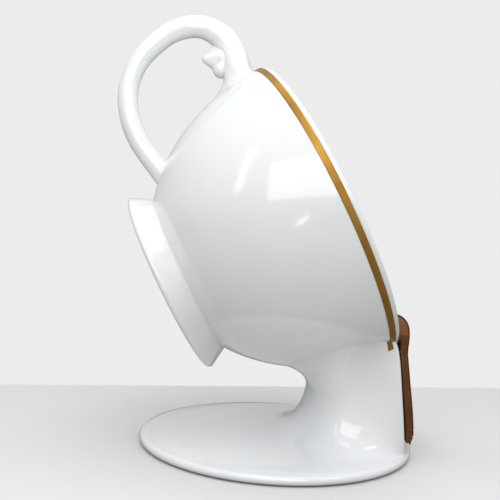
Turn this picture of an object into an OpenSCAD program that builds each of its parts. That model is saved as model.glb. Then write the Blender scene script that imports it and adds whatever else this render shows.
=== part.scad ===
// Lounge chair in the shape of a tipped teacup. The cup lies on its side, mouth to the front, and the
// liquid poured over its lip is the pedestal, which runs down into a round puddle that is the base.
// Frame: origin on the floor under the centre of the round base, +Z up. The chair faces -Y, and its
// left and right halves mirror each other across X = 0. All sizes are in millimetres.

/* [Cup] */
// Outer radius of the cup at its rim
rim_r = 460; // [450:1:470]
// Depth of the half ellipsoid that the cup's outer skin follows
bowl_depth = 540; // [530:1:550]
// Angle by which the cup is tipped forward from upright
cup_tilt = 61.5; // [61:0.5:62]
// Height of the centre of the rim above the floor
rim_z = 709; // [704:1:714]
// Distance of the centre of the rim in front of the base's centre
rim_fwd = 121; // [118:1:124]
// Thickness of the outer glass-fibre skin
skin_t = 6; // [5:1:7]
// Depth of the solid bead that closes the two skins at the rim
bead_h = 14; // [12:1:14]
// Width of the metal band behind the rim
band_w = 18; // [14:1:22]

/* [Foot ring] */
// Distance from the rim to the bottom of the foot ring
foot_depth = 524; // [520:1:526]
// Radius of the foot ring at its bottom edge
foot_r = 280; // [270:1:285]

/* [Handle] */
// Radius of the handle's tube along its back
handle_r = 31; // [28:1:33]
// Wall of the handle's tube
handle_wall = 5; // [4:1:6]
// Radius of the steel core inside the handle
core_r = 11; // [9:1:13]

/* [Pedestal] */
// Radius of the round base
base_r = 402; // [395:1:405]
// Height of the base's top near its edge
base_edge_h = 27; // [25:1:29]
// Half width of the pour's flat front
pour_half_w = 200; // [190:1:205]
// Height of the narrowest level of the pour
waist_z = 158; // [150:1:165]

/* [Seat] */
// Height of the flat seat pan's upper face
pan_z = 305; // [303:1:307]
// Height of the seat cushion's top
seat_z = 397; // [390:1:400]
// Half width of the front roll and the hanging fall
fall_half_w = 158; // [150:1:162]
// Thickness of the hanging fall
fall_t = 26; // [22:1:28]

/* [Hidden] */
$fn = 96;
bead_w = 32;
bead_r = 10;
liner_r = rim_r - bead_w;
liner_depth = 470;
liner_t = 5;
glue = 0.4;
pour_glue = 1.5;
shell_floor = 495;
huge = 600;
foot_w = 28;
plate_z = 6;
plate_t = 10;
plate_r = 330;
plate_screw_r = 270;
floor_pad_r = 300;
pan_under_z = pan_z - liner_t;
saddle_z = 286;
saddle_t = 8;
post_x = 80;
post_y = -171;
post_r = 30;
post_wall = 4;
slot_w = 290;
slot_l = 180;
hinge_z = 308;
hem_z = 50;
board_t = 12;
strip_w = 40;
strip_l = 195;
strip_pitch = 75;
strip_t = 1;
rib_t = 18;
bolt_hole_r = 5.3;
cushion_z = pan_z + 2 + board_t;

// ---- Shared maths -----------------------------------------------------------------------------------

// The cup's own frame: origin at the centre of the rim, +Z out of the mouth, +Y towards the handle.
module in_cup() translate([0, -rim_fwd, rim_z]) rotate([cup_tilt, 0, 0]) children();

// Radius of the outer skin at a height in the cup's frame, and points along it
function bowl_r(z) = rim_r * sqrt(1 - pow(z / bowl_depth, 2));
function ellipse_arc(r, d, from, to, n) = [for (i = [0:n])
    let (a = from + (to - from) * i / n) [r * cos(a), -d * sin(a)]];

// Height of the cup's outer skin above a point of the floor, on the cup's under side
function under_cup(x, y, out) =
    let (a = rim_r + out, d = bowl_depth + out, c = cos(cup_tilt), s = sin(cup_tilt),
         u = y + rim_fwd,
         qa = s * s / (a * a) + c * c / (d * d),
         qb = 2 * u * c * s * (1 / (a * a) - 1 / (d * d)),
         qc = x * x / (a * a) + u * u * (c * c / (a * a) + s * s / (d * d)) - 1)
    rim_z + (-qb - sqrt(max(0, qb * qb - 4 * qa * qc))) / (2 * qa);

function mix(a, b, t) = a + (b - a) * t;
function bezier(p, t) = pow(1 - t, 3) * p[0] + 3 * t * pow(1 - t, 2) * p[1]
    + 3 * t * t * (1 - t) * p[2] + pow(t, 3) * p[3];

// A closed polyhedron from rings of equal length; a looped one has no ends.
module skin(rings, looped = false) {
    m = len(rings);
    n = len(rings[0]);
    last = looped ? m - 1 : m - 2;
    sides = [for (i = [0:last]) for (j = [0:n - 1])
        let (a = i * n + j, b = i * n + (j + 1) % n, c = ((i + 1) % m) * n + (j + 1) % n,
             d = ((i + 1) % m) * n + j) each [[a, b, c], [a, c, d]]];
    ends = looped ? [] : [[for (j = [n - 1:-1:0]) j], [for (j = [0:n - 1]) (m - 1) * n + j]];
    polyhedron(points = [for (r = rings) each r], faces = concat(sides, ends), convexity = 8);
}

// Smooth curve through points, and the direction along it
function catmull(p, i, t) =
    let (n = len(p) - 1, a = p[max(0, i - 1)], b = p[i], c = p[min(n, i + 1)], d = p[min(n, i + 2)])
    0.5 * (2 * b + (c - a) * t + (2 * a - 5 * b + 4 * c - d) * t * t
        + (3 * b - a - 3 * c + d) * pow(t, 3));
function along(p, steps) = [for (i = [0:len(p) - 2]) for (k = [0:steps - 1]) catmull(p, i, k / steps),
    p[len(p) - 1]];
function heading(p, i) = let (v = p[min(len(p) - 1, i + 1)] - p[max(0, i - 1)]) v / norm(v);

// ---- Cup --------------------------------------------------------------------------------------------

module revolved_cup(r, d, top, floor_z) rotate_extrude()
    polygon(concat([[0, top], [r, top]],
        [for (q = ellipse_arc(r, d, 0, asin(floor_z / d), 30)) q], [[0, -floor_z]]));

module cup_shell() color("white") in_cup() difference() {
    intersection() {
        revolved_cup(rim_r, bowl_depth, 1, shell_floor);
        translate([0, 0, -huge]) cylinder(r = huge, h = huge - bead_h);
    }
    revolved_cup(rim_r - skin_t, bowl_depth - skin_t, 2, shell_floor - skin_t);
    for (x = [-post_x, post_x]) post_hole(x);
    for (c = crossings) translate([0, c[0], c[1] - 1]) rotate([90, 0, 0])
        cylinder(r = core_r + 6.5, h = 60, center = true, $fn = 32);
    for (a = [45:90:315]) rotate([0, 0, a]) translate([150, 0, -500]) cylinder(r = 3.2, h = 20, $fn = 24);
}

// Clearance hole of a frame post, seen from inside the cup's frame
module post_hole(x) rotate([-cup_tilt, 0, 0]) translate([x, post_y + rim_fwd, saddle_z - rim_z - 80])
    cylinder(r = post_r + 1.5, h = 90, $fn = 48);

// Everything above a height
module above(z) translate([-huge, -huge, z]) cube(2 * huge);

module seat_bucket() color("white") difference() {
    intersection() {
        in_cup() difference() {
            revolved_cup(liner_r + liner_t, liner_depth + liner_t, 1, liner_depth);
            translate([0, 0, -bead_h]) cylinder(r = huge, h = 60);
        }
        above(pan_under_z);
    }
    intersection() {
        in_cup() revolved_cup(liner_r, liner_depth, 3, liner_depth - liner_t);
        above(pan_z);
    }
    pan_bolt_spots() cylinder(r = bolt_hole_r, h = 40, center = true, $fn = 32);
    pan_bolt_spots() translate([0, 0, pan_z - 5]) cylinder(r1 = 5.3, r2 = 10.3, h = 5.02, $fn = 32);
}

// Rounded bead that bridges the outer skin and the bucket
module rim_bead() color("white") in_cup() rotate_extrude()
    polygon(concat([[liner_r, -bead_h]], [[rim_r, -bead_h]],
        [for (a = [0:15:90]) [rim_r + bead_r * (cos(a) - 1), bead_r * (sin(a) - 1)]],
        [for (a = [90:15:180]) [liner_r + bead_r * (cos(a) + 1), bead_r * (sin(a) - 1)]]));

// The band is two strips, which stop on both sides of the pour and of the handle.
module gold_band() {
    pour_gap = asin(pour_half_w / rim_r) + 2;
    handle_gap = 8;
    near = -bead_h - 1;
    far = near - band_w;
    color("goldenrod") in_cup() for (start = [pour_gap - 90, 90 + handle_gap]) rotate([0, 0, start])
        rotate_extrude(angle = 180 - pour_gap - handle_gap)
            polygon([[bowl_r(near) + 0.25, near], [bowl_r(near) + 1.2, near - 0.5],
                [bowl_r(far) + 1.2, far + 0.5], [bowl_r(far) + 0.25, far]]);
}

// ---- Foot ring --------------------------------------------------------------------------------------

module foot_ring() {
    b = -foot_depth;
    root_z = b + 68;
    lip = 10;
    color("white") in_cup() rotate_extrude() polygon(concat([[bowl_r(root_z) + glue, root_z]],
        [for (a = [20:-22:-90]) [foot_r + lip * (cos(a) - 1), b + lip * (sin(a) + 1)]],
        [[foot_r - 22, b], [foot_r - foot_w, b + 6], [foot_r - foot_w, b + 22]],
        [[bowl_r(root_z - 12) + glue, root_z - 12]]));
}

module foot_cap() color("gainsboro") in_cup() difference() {
    union() {
        translate([0, 0, -foot_depth + 10]) cylinder(r = foot_r - foot_w - 0.5, h = 6);
        for (a = [45:90:315]) rotate([0, 0, a]) translate([150, 0, -foot_depth + 15])
            cylinder(r = 11, h = foot_depth - 15 - shell_floor - glue, $fn = 32);
    }
    for (a = [45:90:315]) rotate([0, 0, a])
        translate([150, 0, -foot_depth]) cylinder(r = 3.2, h = 40, $fn = 24);
}

module foot_cap_screws() color("silver") in_cup() for (a = [45:90:315]) rotate([0, 0, a])
    translate([150, 0, -foot_depth]) {
        translate([0, 0, 6.8]) cylinder(r = 6, h = 3.2, $fn = 24);
        translate([0, 0, 9.9]) cylinder(r = 3, h = 28, $fn = 24);
    }

// ---- Handle -----------------------------------------------------------------------------------------

// The tube's centre line in the cup's frame as [radial, axial], from the rim side round to the foot side,
// and the tube's radius at the same places
handle_line = [[478, -57], [522, -51], [568, -48], [606, -52], [640, -72], [668, -101], [685, -141],
    [690, -190], [681, -240], [659, -302], [622, -353], [570, -393], [500, -417], [440, -422],
    [390, -417], [352, -409]];
handle_radii = [48, 45, 43, 39, 36, 34, 33, 32, 31.5, handle_r, 30, 31, handle_r, handle_r, handle_r, 32];
handle_sides = 24;
handle_steps = 3;

// Distance along a ray from p towards d at which it meets the skin, grown by out
function ray_to_bowl(p, d, out) =
    let (k = [1 / (rim_r + out), 1 / (rim_r + out), 1 / (bowl_depth + out)],
         q = [p[0] * k[0], p[1] * k[1], p[2] * k[2]], e = [d[0] * k[0], d[1] * k[1], d[2] * k[2]],
         a = e * e, b = 2 * (q * e), c = q * q - 1)
    (-b - sqrt(max(0, b * b - 4 * a * c))) / (2 * a);

function ring_at(c, dir, r) = let (side = [0, -dir[1], dir[0]])
    [for (j = [0:handle_sides - 1]) let (a = 360 * j / handle_sides)
        [r * sin(a), c[0] + r * cos(a) * side[1], c[1] + r * cos(a) * side[2]]];
function on_bowl(ring, dir, out) = [for (p = ring) let (d = [0, dir[0], dir[1]])
    p + d * ray_to_bowl(p, d, out)];

// Rings of a tube along the handle, its two ends cut to the skin's own curve
function handle_rings(shrink) =
    let (line = along(handle_line, handle_steps),
         radii = along([for (r = handle_radii) [r, 0]], handle_steps), m = len(line) - 1,
         first = ring_at(line[0], heading(line, 0), radii[0][0] - shrink),
         final = ring_at(line[m], heading(line, m), radii[m][0] - shrink))
    [on_bowl(first, -heading(line, 0), glue),
     for (i = [0:m]) ring_at(line[i], heading(line, i), radii[i][0] - shrink),
     on_bowl(final, heading(line, m), glue)];

module handle_tube() {
    outer = handle_rings(0);
    inner = handle_rings(handle_wall);
    color("white") in_cup()
        skin(concat(outer, [for (i = [len(inner) - 1:-1:0]) inner[i]]), looped = true);
}

// Steel bar that carries the load inside the tube; its threaded ends pass through the skin.
core_line = [[434, -57], [478, -57], [522, -51], [568, -48], [606, -52], [640, -72], [668, -101], [685, -141],
    [690, -190], [681, -240], [659, -302], [622, -353], [570, -393], [500, -417], [440, -422],
    [390, -417], [352, -409], [309, -397.5], [278, -389]];
module handle_core() {
    line = along(core_line, 2);
    sides = 12;
    color("dimgray") in_cup() skin([for (i = [0:len(line) - 1])
        let (h = heading(line, i), s = [0, -h[1], h[0]])
        [for (j = [0:sides - 1]) let (a = 360 * j / sides)
            [core_r * sin(a), line[i][0] + core_r * cos(a) * s[1], line[i][1] + core_r * cos(a) * s[2]]]]);
}

// Where the bar's ends cross the skin: [radial, axial], tilt of the skin's inward normal and of the bar
crossings = [[451.3, -57, 84.8, 90], [305.5, -395, 46.9, 75]];
module at_crossing(c, tilt, deep) translate([0, c[0], c[1]]) rotate([tilt, 0, 0])
    translate([0, 0, deep]) children();

// Backing plates inside the skin, and the nuts on the bar's ends
module handle_plates() color("silver") in_cup() for (c = crossings) at_crossing(c, c[2], 1.8) difference() {
    cylinder(r = 32, h = 4, $fn = 64);
    translate([0, 0, -1]) cylinder(r = core_r + 6, h = 8, $fn = 32);
}

module handle_nuts() color("silver") in_cup() {
    at_crossing(crossings[0], crossings[0][3], 8) hex_nut();
    translate([0, 289, -392]) rotate([75, 0, 0]) hex_nut();
}
module hex_nut() difference() {
    cylinder(r = core_r + 7, h = 9, $fn = 6);
    translate([0, 0, -1]) cylinder(r = core_r + 0.2, h = 12, $fn = 32);
}

// Lobed leaf on the inside of the loop, where the thumb would press
module thumb_rest() color("white") {
    hull() {
        translate([0, 222, 1168]) sphere(r = 17, $fn = 24);
        translate([0, 268, 1149]) sphere(r = 9, $fn = 24);
        translate([0, 226, 1140]) sphere(r = 17, $fn = 24);
    }
    hull() {
        translate([0, 214, 1145]) sphere(r = 18, $fn = 24);
        translate([0, 222, 1117]) sphere(r = 17, $fn = 24);
    }
}

// ---- Pedestal ---------------------------------------------------------------------------------------

// Height of the base's domed top at a distance from its centre
function dome_z(r) = base_edge_h + 14 * (1 - pow(min(1, r / 385), 2));

// A level of the pour, seen from above: half width and forward place of its front corners, how far the
// front bows out between them, greatest half width, and the forward places of that width and of the rear
pour_low = [178, 354, 20, 300, 165, -25];
pour_waist = [pour_half_w, 335, 20, 203, 196, 93];
pour_high = [pour_half_w, 306, 30, 272, 181, 14];

// Outline of a level, inset by in: right side, rear, left side, then across the front
side_cuts = 9;
front_cuts = 8;
function pour_front_spot(level, u, in) = [level[0] * u, level[1] - in + level[2] * (1 - u * u)];
function pour_outline(level, in) =
    let (w = level[3] - in, front = level[1] - in, c = level[4], b = level[5] + in, n = side_cuts,
         half = concat(
            [for (i = [0:n - 1]) let (a = 90 - 90 * i / n)
                [level[0] + (w - level[0]) * cos(a), c + (front - c) * a / 90]],
            [for (i = [0:n]) let (a = 90 * i / n) [w * cos(a), c - (c - b) * sin(a)]]))
    concat(half, [for (i = [len(half) - 2:-1:0]) [-half[i][0], half[i][1]]],
        [for (i = [1:front_cuts - 1]) pour_front_spot(level, 2 * i / front_cuts - 1, in)]);

// One column of the pour, which leaves the base level, leans as it passes the waist and meets the cup
function on_floor(p) = [p[0], -p[1], dome_z(norm(p)) - 5.7];
function at_waist(p) = [p[0], -p[1], waist_z];
function at_cup(p) = [p[0], -p[1], under_cup(p[0], -p[1], pour_glue)];
function flat(p) = [p[0], p[1], 0];
function column(f, w, j, t) =
    let (lean = 0.8 * (flat(j) - flat(f)) / (j[2] - f[2]), up = [0, 0, 1],
         below = w - 0.55 * (w[2] - f[2]) * (lean + up), over = w + 0.55 * (j[2] - w[2]) * (lean + up))
    t <= 1
        ? bezier([f, mix(flat(f), flat(below), 0.7) + f[2] * up, below, w], t)
        : bezier([w, over, mix(flat(w), flat(j), 0.45) + mix(w[2], j[2], 0.85) * up, j], t - 1);

column_steps = 14;
function pour_rings(in) =
    let (low = pour_outline(pour_low, in), mid = pour_outline(pour_waist, in),
         high = pour_outline(pour_high, in))
    [for (i = [0:column_steps]) [for (j = [0:len(low) - 1])
        column(on_floor(low[j]), at_waist(mid[j]), at_cup(high[j]), 2 * i / column_steps)]];

module base_dome(r, lift) rotate_extrude() polygon(concat([[0, 3 - lift]], [[r - 9, 3 - lift]],
    [for (a = [-75:15:75]) [r - 10 + 10 * cos(a), 13 - lift + 11 * sin(a)]],
    [for (i = [0:8]) let (q = (r - 17) * (1 - i / 8)) [q, dome_z(q) - lift]]));

module pedestal_shell() {
    outer = pour_rings(0);
    inner = pour_rings(skin_t);
    color("white") union() {
        difference() {
            base_dome(base_r, 0);
            base_dome(base_r - skin_t, skin_t);
            translate([0, 0, -10]) cylinder(r = base_r - 16, h = 20);
            translate([-slot_w / 2, post_y - slot_l / 2, 0]) cube([slot_w, slot_l, 60]);
        }
        skin(concat(inner, [for (i = [len(outer) - 1:-1:0]) outer[i]]), looped = true);
    }
}

module base_plate() color("dimgray") difference() {
    translate([0, 0, plate_z]) cylinder(r = plate_r, h = plate_t);
    for (a = [30:60:330]) rotate([0, 0, a]) translate([plate_screw_r, 0, 0]) {
        cylinder(r = 4.3, h = 40, $fn = 32);
        translate([0, 0, plate_z - 0.01]) cylinder(r1 = 8.4, r2 = 4.3, h = 4.1, $fn = 32);
    }
}

// Plywood blocks laminated under the base's skin, which take the plate's screws
module base_blocks() color("burlywood") for (a = [30:60:330]) rotate([0, 0, a]) difference() {
    translate([plate_screw_r - 35, -35, plate_z + plate_t]) cube([70, 70, 9]);
    translate([plate_screw_r, 0, 0]) cylinder(r = 3.6, h = 60, $fn = 32);
}

module base_screws() color("silver") for (a = [30:60:330]) rotate([0, 0, a])
    translate([plate_screw_r, 0, plate_z]) {
    cylinder(r1 = 8, r2 = 4, h = 4, $fn = 32);
    translate([0, 0, 3.9]) cylinder(r = 3.5, h = 14, $fn = 32);
}

module floor_pads() color("black") {
    cylinder(r = 30, h = plate_z);
    for (a = [0:60:300]) rotate([0, 0, a])
        translate([floor_pad_r, 0, 0]) cylinder(r = 22, h = plate_z, $fn = 48);
}

// ---- Steel frame ------------------------------------------------------------------------------------

module frame_posts() color("dimgray") for (x = [-post_x, post_x]) translate([x, post_y, plate_z + plate_t])
    difference() {
        cylinder(r = post_r, h = saddle_z - plate_z - plate_t, $fn = 64);
        translate([0, 0, -1]) cylinder(r = post_r - post_wall, h = 300, $fn = 64);
    }

module post_gussets() color("dimgray") for (x = [-1, 1]) for (y = [-1, 1])
    translate([x * post_x, post_y + y * (post_r + 0.2), plate_z + plate_t])
        rotate([90, 0, y > 0 ? 90 : -90]) translate([0, 0, -3])
            linear_extrude(6) polygon([[0, 0], [42, 0], [42, 8], [8, 70], [0, 70]]);

module saddle_plate() color("dimgray") difference() {
    translate([-125, post_y - 58, saddle_z]) cube([250, 112, saddle_t]);
    pan_bolt_spots() cylinder(r = bolt_hole_r, h = 40, center = true, $fn = 32);
    pan_bolt_spots() translate([0, 0, saddle_z]) cylinder(r = bolt_hole_r, h = 40, center = true, $fn = 32);
}

module pan_bolt_spots() for (x = [-108, 108]) for (y = [-38, 34]) translate([x, post_y + y, 0]) children();

// Rubber pads between the saddle plate and the seat pan
module pan_pads() color("black") pan_bolt_spots() translate([0, 0, saddle_z + saddle_t]) difference() {
    cylinder(r = 15, h = pan_under_z - saddle_z - saddle_t, $fn = 48);
    translate([0, 0, -1]) cylinder(r = bolt_hole_r, h = 20, $fn = 32);
}

module pan_bolts() color("silver") pan_bolt_spots() {
    translate([0, 0, pan_z - 5]) cylinder(r1 = 5, r2 = 10, h = 4.9, $fn = 32);
    translate([0, 0, saddle_z - 12]) cylinder(r = 5, h = pan_z - saddle_z + 8, $fn = 32);
    translate([0, 0, saddle_z - 8]) cylinder(r = 9, h = 7.9, $fn = 6);
}

// Plywood ribs between the outer skin and the seat pan
module rib(y) color("burlywood") intersection() {
    in_cup() revolved_cup(rim_r - skin_t - glue, bowl_depth - skin_t - glue, 0, 488);
    translate([-huge, y, 150]) cube([2 * huge, rib_t, pan_under_z - glue - 150]);
}
module mid_rib() rib(-98);
module rear_rib() rib(60);

// ---- Seat cushion -----------------------------------------------------------------------------------

// The hollow of the bucket, shrunk by in, between two heights
module bucket_slice(in, low, high, past = 0) intersection() {
    in_cup() revolved_cup(liner_r - in, liner_depth - in, past, liner_depth - in - 1);
    translate([-huge, -huge, low]) cube([2 * huge, 2 * huge, high - low]);
}

module strip_rows(low) for (i = [-1:1])
    translate([i * strip_pitch - strip_w / 2, -150, low]) cube([strip_w, strip_l, strip_t]);
module hook_strips() color("black") strip_rows(pan_z);
module loop_strips() color("black") strip_rows(pan_z + 1.4);

module seat_board() color("burlywood") intersection() {
    bucket_slice(22, pan_z + 2.4, cushion_z);
    translate([-huge, -250, 0]) cube(2 * huge);
}

module seat_foam() color("khaki") intersection() {
    bucket_slice(9, cushion_z + 4, seat_z - 4);
    in_cup() translate([0, 0, -huge]) cylinder(r = huge, h = huge - 6);
}

module seat_cover() color("sienna") difference() {
    bucket_slice(5, cushion_z, seat_z, 2.4);
    bucket_slice(8.8, cushion_z + 3.8, seat_z - 3.8);
}

// Half axes and centre of the bucket's section at a height, shrunk by in
function slice_at(z, in) =
    let (a = liner_r - in, d = liner_depth - in, c = cos(cup_tilt), s = sin(cup_tilt), h = z - rim_z,
         qa = c * c / (a * a) + s * s / (d * d),
         qb = 2 * h * s * c * (1 / (a * a) - 1 / (d * d)),
         qc = h * h * (s * s / (a * a) + c * c / (d * d)) - 1,
         mid = -qb / (2 * qa), left = mid * mid - qc / qa)
    [mid - rim_fwd, sqrt(left), a * sqrt(left * qa)];

// Welt around the top edge of the cushion, a little inside the bucket
module seat_piping() {
    e = slice_at(seat_z, 9);
    steps = 44;
    r = 4;
    function spot(a) = [e[2] * cos(a), e[0] + e[1] * sin(a), seat_z + r + glue];
    color("saddlebrown") intersection() {
        skin([for (i = [0:steps - 1]) let (a = 360 * i / steps, p = spot(a),
                 d = spot(a + 1) - spot(a - 1), h = d / norm(d), side = [h[1], -h[0], 0])
            [for (j = [0:9]) p + side * r * cos(36 * j) + [0, 0, r * sin(36 * j)]]], looped = true);
        in_cup() translate([0, 0, -huge]) cylinder(r = huge, h = huge);
    }
}

// Zip along the rear of the cushion's side
module seat_zip() color("dimgray") intersection() {
    difference() {
        bucket_slice(3, cushion_z + 30, cushion_z + 36);
        bucket_slice(4.9, cushion_z, seat_z);
    }
    translate([-200, 0, 0]) cube([400, 600, 600]);
}

// Forward place of the rim's outermost point at a distance from the middle plane, and its height
function lip_fwd(x) = rim_fwd + sqrt(rim_r * rim_r - x * x) * cos(cup_tilt);
function lip_z(x) = rim_z - sqrt(rim_r * rim_r - x * x) * sin(cup_tilt);
function mouth_fwd(z) = rim_fwd + (rim_z - z) * tan(90 - cup_tilt);

// Padded roll that carries the seat's front over the lip
module front_roll() {
    cuts = 10;
    color("sienna") skin([for (i = [0:cuts])
        let (x = -fall_half_w + 2 * fall_half_w * i / cuts, f = lip_fwd(x) + 4, z = lip_z(x),
             in_z = lip_z(x) + 29, g = f + fall_t, gap = 3 / sin(cup_tilt))
        [for (p = [[f, hinge_z + 0.5], [f, z + 4], [f - 1, z + 8], [mouth_fwd(in_z) + gap, in_z],
             [mouth_fwd(seat_z) + gap, seat_z], [mouth_fwd(seat_z) + gap + 20, seat_z + 6],
             [g - 22, seat_z + 4], [g - 7, seat_z - 10], [g, seat_z - 34], [g, hinge_z + 20],
             [g - 3, hinge_z + 0.5]]) [x, -p[0], p[1]]]]);
}

// ---- Hanging fall -----------------------------------------------------------------------------------

// Forward place of the pour's front face at a height, at a distance from the middle plane
function pour_front(x, z) =
    let (u = x / pour_half_w, f = on_floor(pour_front_spot(pour_low, u, 0)),
         w = at_waist(pour_front_spot(pour_waist, u, 0)), j = at_cup(pour_front_spot(pour_high, u, 0)))
    lookup(z, [for (i = [0:column_steps]) let (p = column(f, w, j, 2 * i / column_steps)) [p[2], -p[1]]]);

// What hangs down in front of the lip has this behind it.
function behind_fall(x, z) = max(pour_front(x, z), z > lip_z(0) - 20 ? lip_fwd(x) : 0);

// A slab that lies in front of the pour, between two depths and two heights
module draped_slab(from, to, low, high, half_w, rows = 8, cuts = 10) {
    skin([for (i = [0:cuts]) let (x = -half_w + 2 * half_w * i / cuts)
        [for (k = [0:rows]) let (z = mix(high, low, k / rows)) [x, -behind_fall(x, z) - from, z],
         for (k = [rows:-1:0]) let (z = mix(high, low, k / rows)) [x, -behind_fall(x, z) - to, z]]]);
}

module fall_pad() color("sienna") draped_slab(5.8, fall_t + 2, hem_z, hinge_z - 4, fall_half_w);
module fall_backing() color("saddlebrown") draped_slab(3.2, 5, hem_z, hinge_z - 4, fall_half_w);
module fall_piping() color("saddlebrown") draped_slab(10, 16, hem_z - 6, hem_z - 0.2, fall_half_w - 2, 1);
module fall_hem_weight() color("silver") draped_slab(18, 20, hem_z - 4, hem_z - 0.2, 60, 1);

cup_shell();
seat_bucket();
rim_bead();
gold_band();
foot_ring();
foot_cap();
foot_cap_screws();
handle_tube();
handle_core();
handle_plates();
handle_nuts();
thumb_rest();
pedestal_shell();
base_plate();
base_blocks();
base_screws();
floor_pads();
frame_posts();
post_gussets();
saddle_plate();
pan_pads();
pan_bolts();
mid_rib();
rear_rib();
hook_strips();
loop_strips();
seat_board();
seat_foam();
seat_cover();
seat_piping();
seat_zip();
front_roll();
fall_pad();
fall_backing();
fall_piping();
fall_hem_weight();
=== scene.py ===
import math

import bmesh
import bpy
import numpy as np
from mathutils import Matrix, Vector
from mathutils.bvhtree import BVHTree
from mathutils.geometry import tessellate_polygon


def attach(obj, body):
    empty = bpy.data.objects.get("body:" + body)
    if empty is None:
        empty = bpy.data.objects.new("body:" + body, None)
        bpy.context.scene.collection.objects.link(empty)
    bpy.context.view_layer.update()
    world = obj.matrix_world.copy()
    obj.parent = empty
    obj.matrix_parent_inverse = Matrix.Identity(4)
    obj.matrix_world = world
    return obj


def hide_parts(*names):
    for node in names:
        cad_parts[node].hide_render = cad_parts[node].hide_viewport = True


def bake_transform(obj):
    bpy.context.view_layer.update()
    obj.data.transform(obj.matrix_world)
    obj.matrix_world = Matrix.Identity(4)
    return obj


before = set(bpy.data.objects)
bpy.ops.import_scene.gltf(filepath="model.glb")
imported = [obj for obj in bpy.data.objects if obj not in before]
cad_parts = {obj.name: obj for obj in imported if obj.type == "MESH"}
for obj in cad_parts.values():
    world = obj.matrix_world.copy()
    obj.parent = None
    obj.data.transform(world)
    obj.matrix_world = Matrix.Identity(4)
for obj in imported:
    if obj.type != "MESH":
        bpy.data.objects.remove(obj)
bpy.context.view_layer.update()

# ---- Driving sizes, in millimetres, as the frame has them -------------------------------------------
MM = 0.001
RIM_R, BOWL_D, WALL = 460.0, 540.0, 6.0
TILT = math.radians(61.5)
RIM_FWD, RIM_Z = 121.0, 709.0
BEAD_H, BEAD_W, BAND_W = 14.0, 32.0, 18.0
LINER_R, LINER_D, LINER_T = RIM_R - BEAD_W, 470.0, 5.0
FOOT_D, FOOT_R, FOOT_H, SHELL_FLOOR = 524.0, 280.0, 68.0, 495.0
BASE_R, EDGE_H, EDGE_R = 402.0, 27.0, 10.0
POUR_W, WAIST_Z = 200.0, 158.0
PAN_Z, CUSHION_Z, SEAT_Z = 305.0, 319.0, 397.0
FALL_W, FALL_T, HINGE_Z, HEM_Z = 158.0, 26.0, 308.0, 50.0
SIN, COS = math.sin(TILT), math.cos(TILT)


# ---- Geometry helpers -------------------------------------------------------------------------------
def from_cup(p):
    """Points of the cup's frame (rim centre, +Z out of the mouth, +Y to the handle) in the chair's."""
    p = np.asarray(p, float)
    x, y, z = p[..., 0], p[..., 1], p[..., 2]
    return np.stack([x, -RIM_FWD + y * COS - z * SIN, RIM_Z + y * SIN + z * COS], -1)


def to_cup(p):
    p = np.asarray(p, float)
    y, z = p[..., 1] + RIM_FWD, p[..., 2] - RIM_Z
    return np.stack([p[..., 0], y * COS + z * SIN, -y * SIN + z * COS], -1)


def bowl_r(z, out=0.0):
    return (RIM_R + out) * np.sqrt(np.maximum(0, 1 - (z / (BOWL_D + out)) ** 2))


def under_cup(x, y, out):
    """Height of the lower side of the cup's skin above points of the floor."""
    a, b, u = RIM_R + out, BOWL_D + out, y + RIM_FWD
    qa = SIN ** 2 / a ** 2 + COS ** 2 / b ** 2
    qb = 2 * u * COS * SIN * (1 / a ** 2 - 1 / b ** 2)
    qc = x * x / a ** 2 + u * u * (COS ** 2 / a ** 2 + SIN ** 2 / b ** 2) - 1
    return RIM_Z + (-qb - np.sqrt(np.maximum(0, qb * qb - 4 * qa * qc))) / (2 * qa)


def arc(cx, cz, r, start, end, n):
    a = np.radians(np.linspace(start, end, n))
    return [(cx + r * math.cos(t), cz + r * math.sin(t)) for t in a]


def mesh_piece(name, verts, faces, sharp=34.0):
    """A smooth-shaded object from points in millimetres, crisp along edges sharper than an angle."""
    me = bpy.data.meshes.new(name)
    me.from_pydata((np.asarray(verts, float) * MM).tolist(), [], [list(f) for f in faces])
    bm = bmesh.new()
    bm.from_mesh(me)
    bmesh.ops.remove_doubles(bm, verts=bm.verts, dist=1e-6)
    bmesh.ops.dissolve_degenerate(bm, edges=bm.edges, dist=1e-7)
    bmesh.ops.recalc_face_normals(bm, faces=bm.faces)
    for f in bm.faces:
        f.smooth = True
    for e in bm.edges:
        if len(e.link_faces) == 2 and e.calc_face_angle(0) > math.radians(sharp):
            e.smooth = False
    bm.to_mesh(me)
    bm.free()
    ob = bpy.data.objects.new(name, me)
    bpy.context.scene.collection.objects.link(ob)
    return ob


def grid_faces(m, n, wrap_cols=True, wrap_rows=False, start=0):
    faces = []
    for i in range(m if wrap_rows else m - 1):
        k = (i + 1) % m
        for j in range(n if wrap_cols else n - 1):
            l = (j + 1) % n
            faces.append((start + i * n + j, start + i * n + l, start + k * n + l, start + k * n + j))
    return faces


def grid_piece(name, grid, sharp=34.0, wrap_cols=True, wrap_rows=False):
    m, n = grid.shape[:2]
    return mesh_piece(name, grid.reshape(-1, 3), grid_faces(m, n, wrap_cols, wrap_rows), sharp)


def grid_normals(grid, wrap=True):
    up = np.gradient(grid, axis=0)
    if wrap:
        round_ = (np.roll(grid, -1, 1) - np.roll(grid, 1, 1)) / 2
    else:
        round_ = np.gradient(grid, axis=1)
    n = np.cross(round_, up)
    return n / np.maximum(np.linalg.norm(n, axis=-1, keepdims=True), 1e-9)


def revolve(name, profile, segments, sharp=34.0):
    """A body of revolution about the cup's axis; profile is (radius, height) in the cup's frame."""
    p = np.array(profile, float)
    a = np.linspace(0, 2 * math.pi, segments, endpoint=False)
    grid = np.stack([p[:, :1] * np.cos(a), p[:, :1] * np.sin(a), p[:, 1:] + 0 * a], -1)
    return grid_piece(name, from_cup(grid), sharp, True, True)


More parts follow.
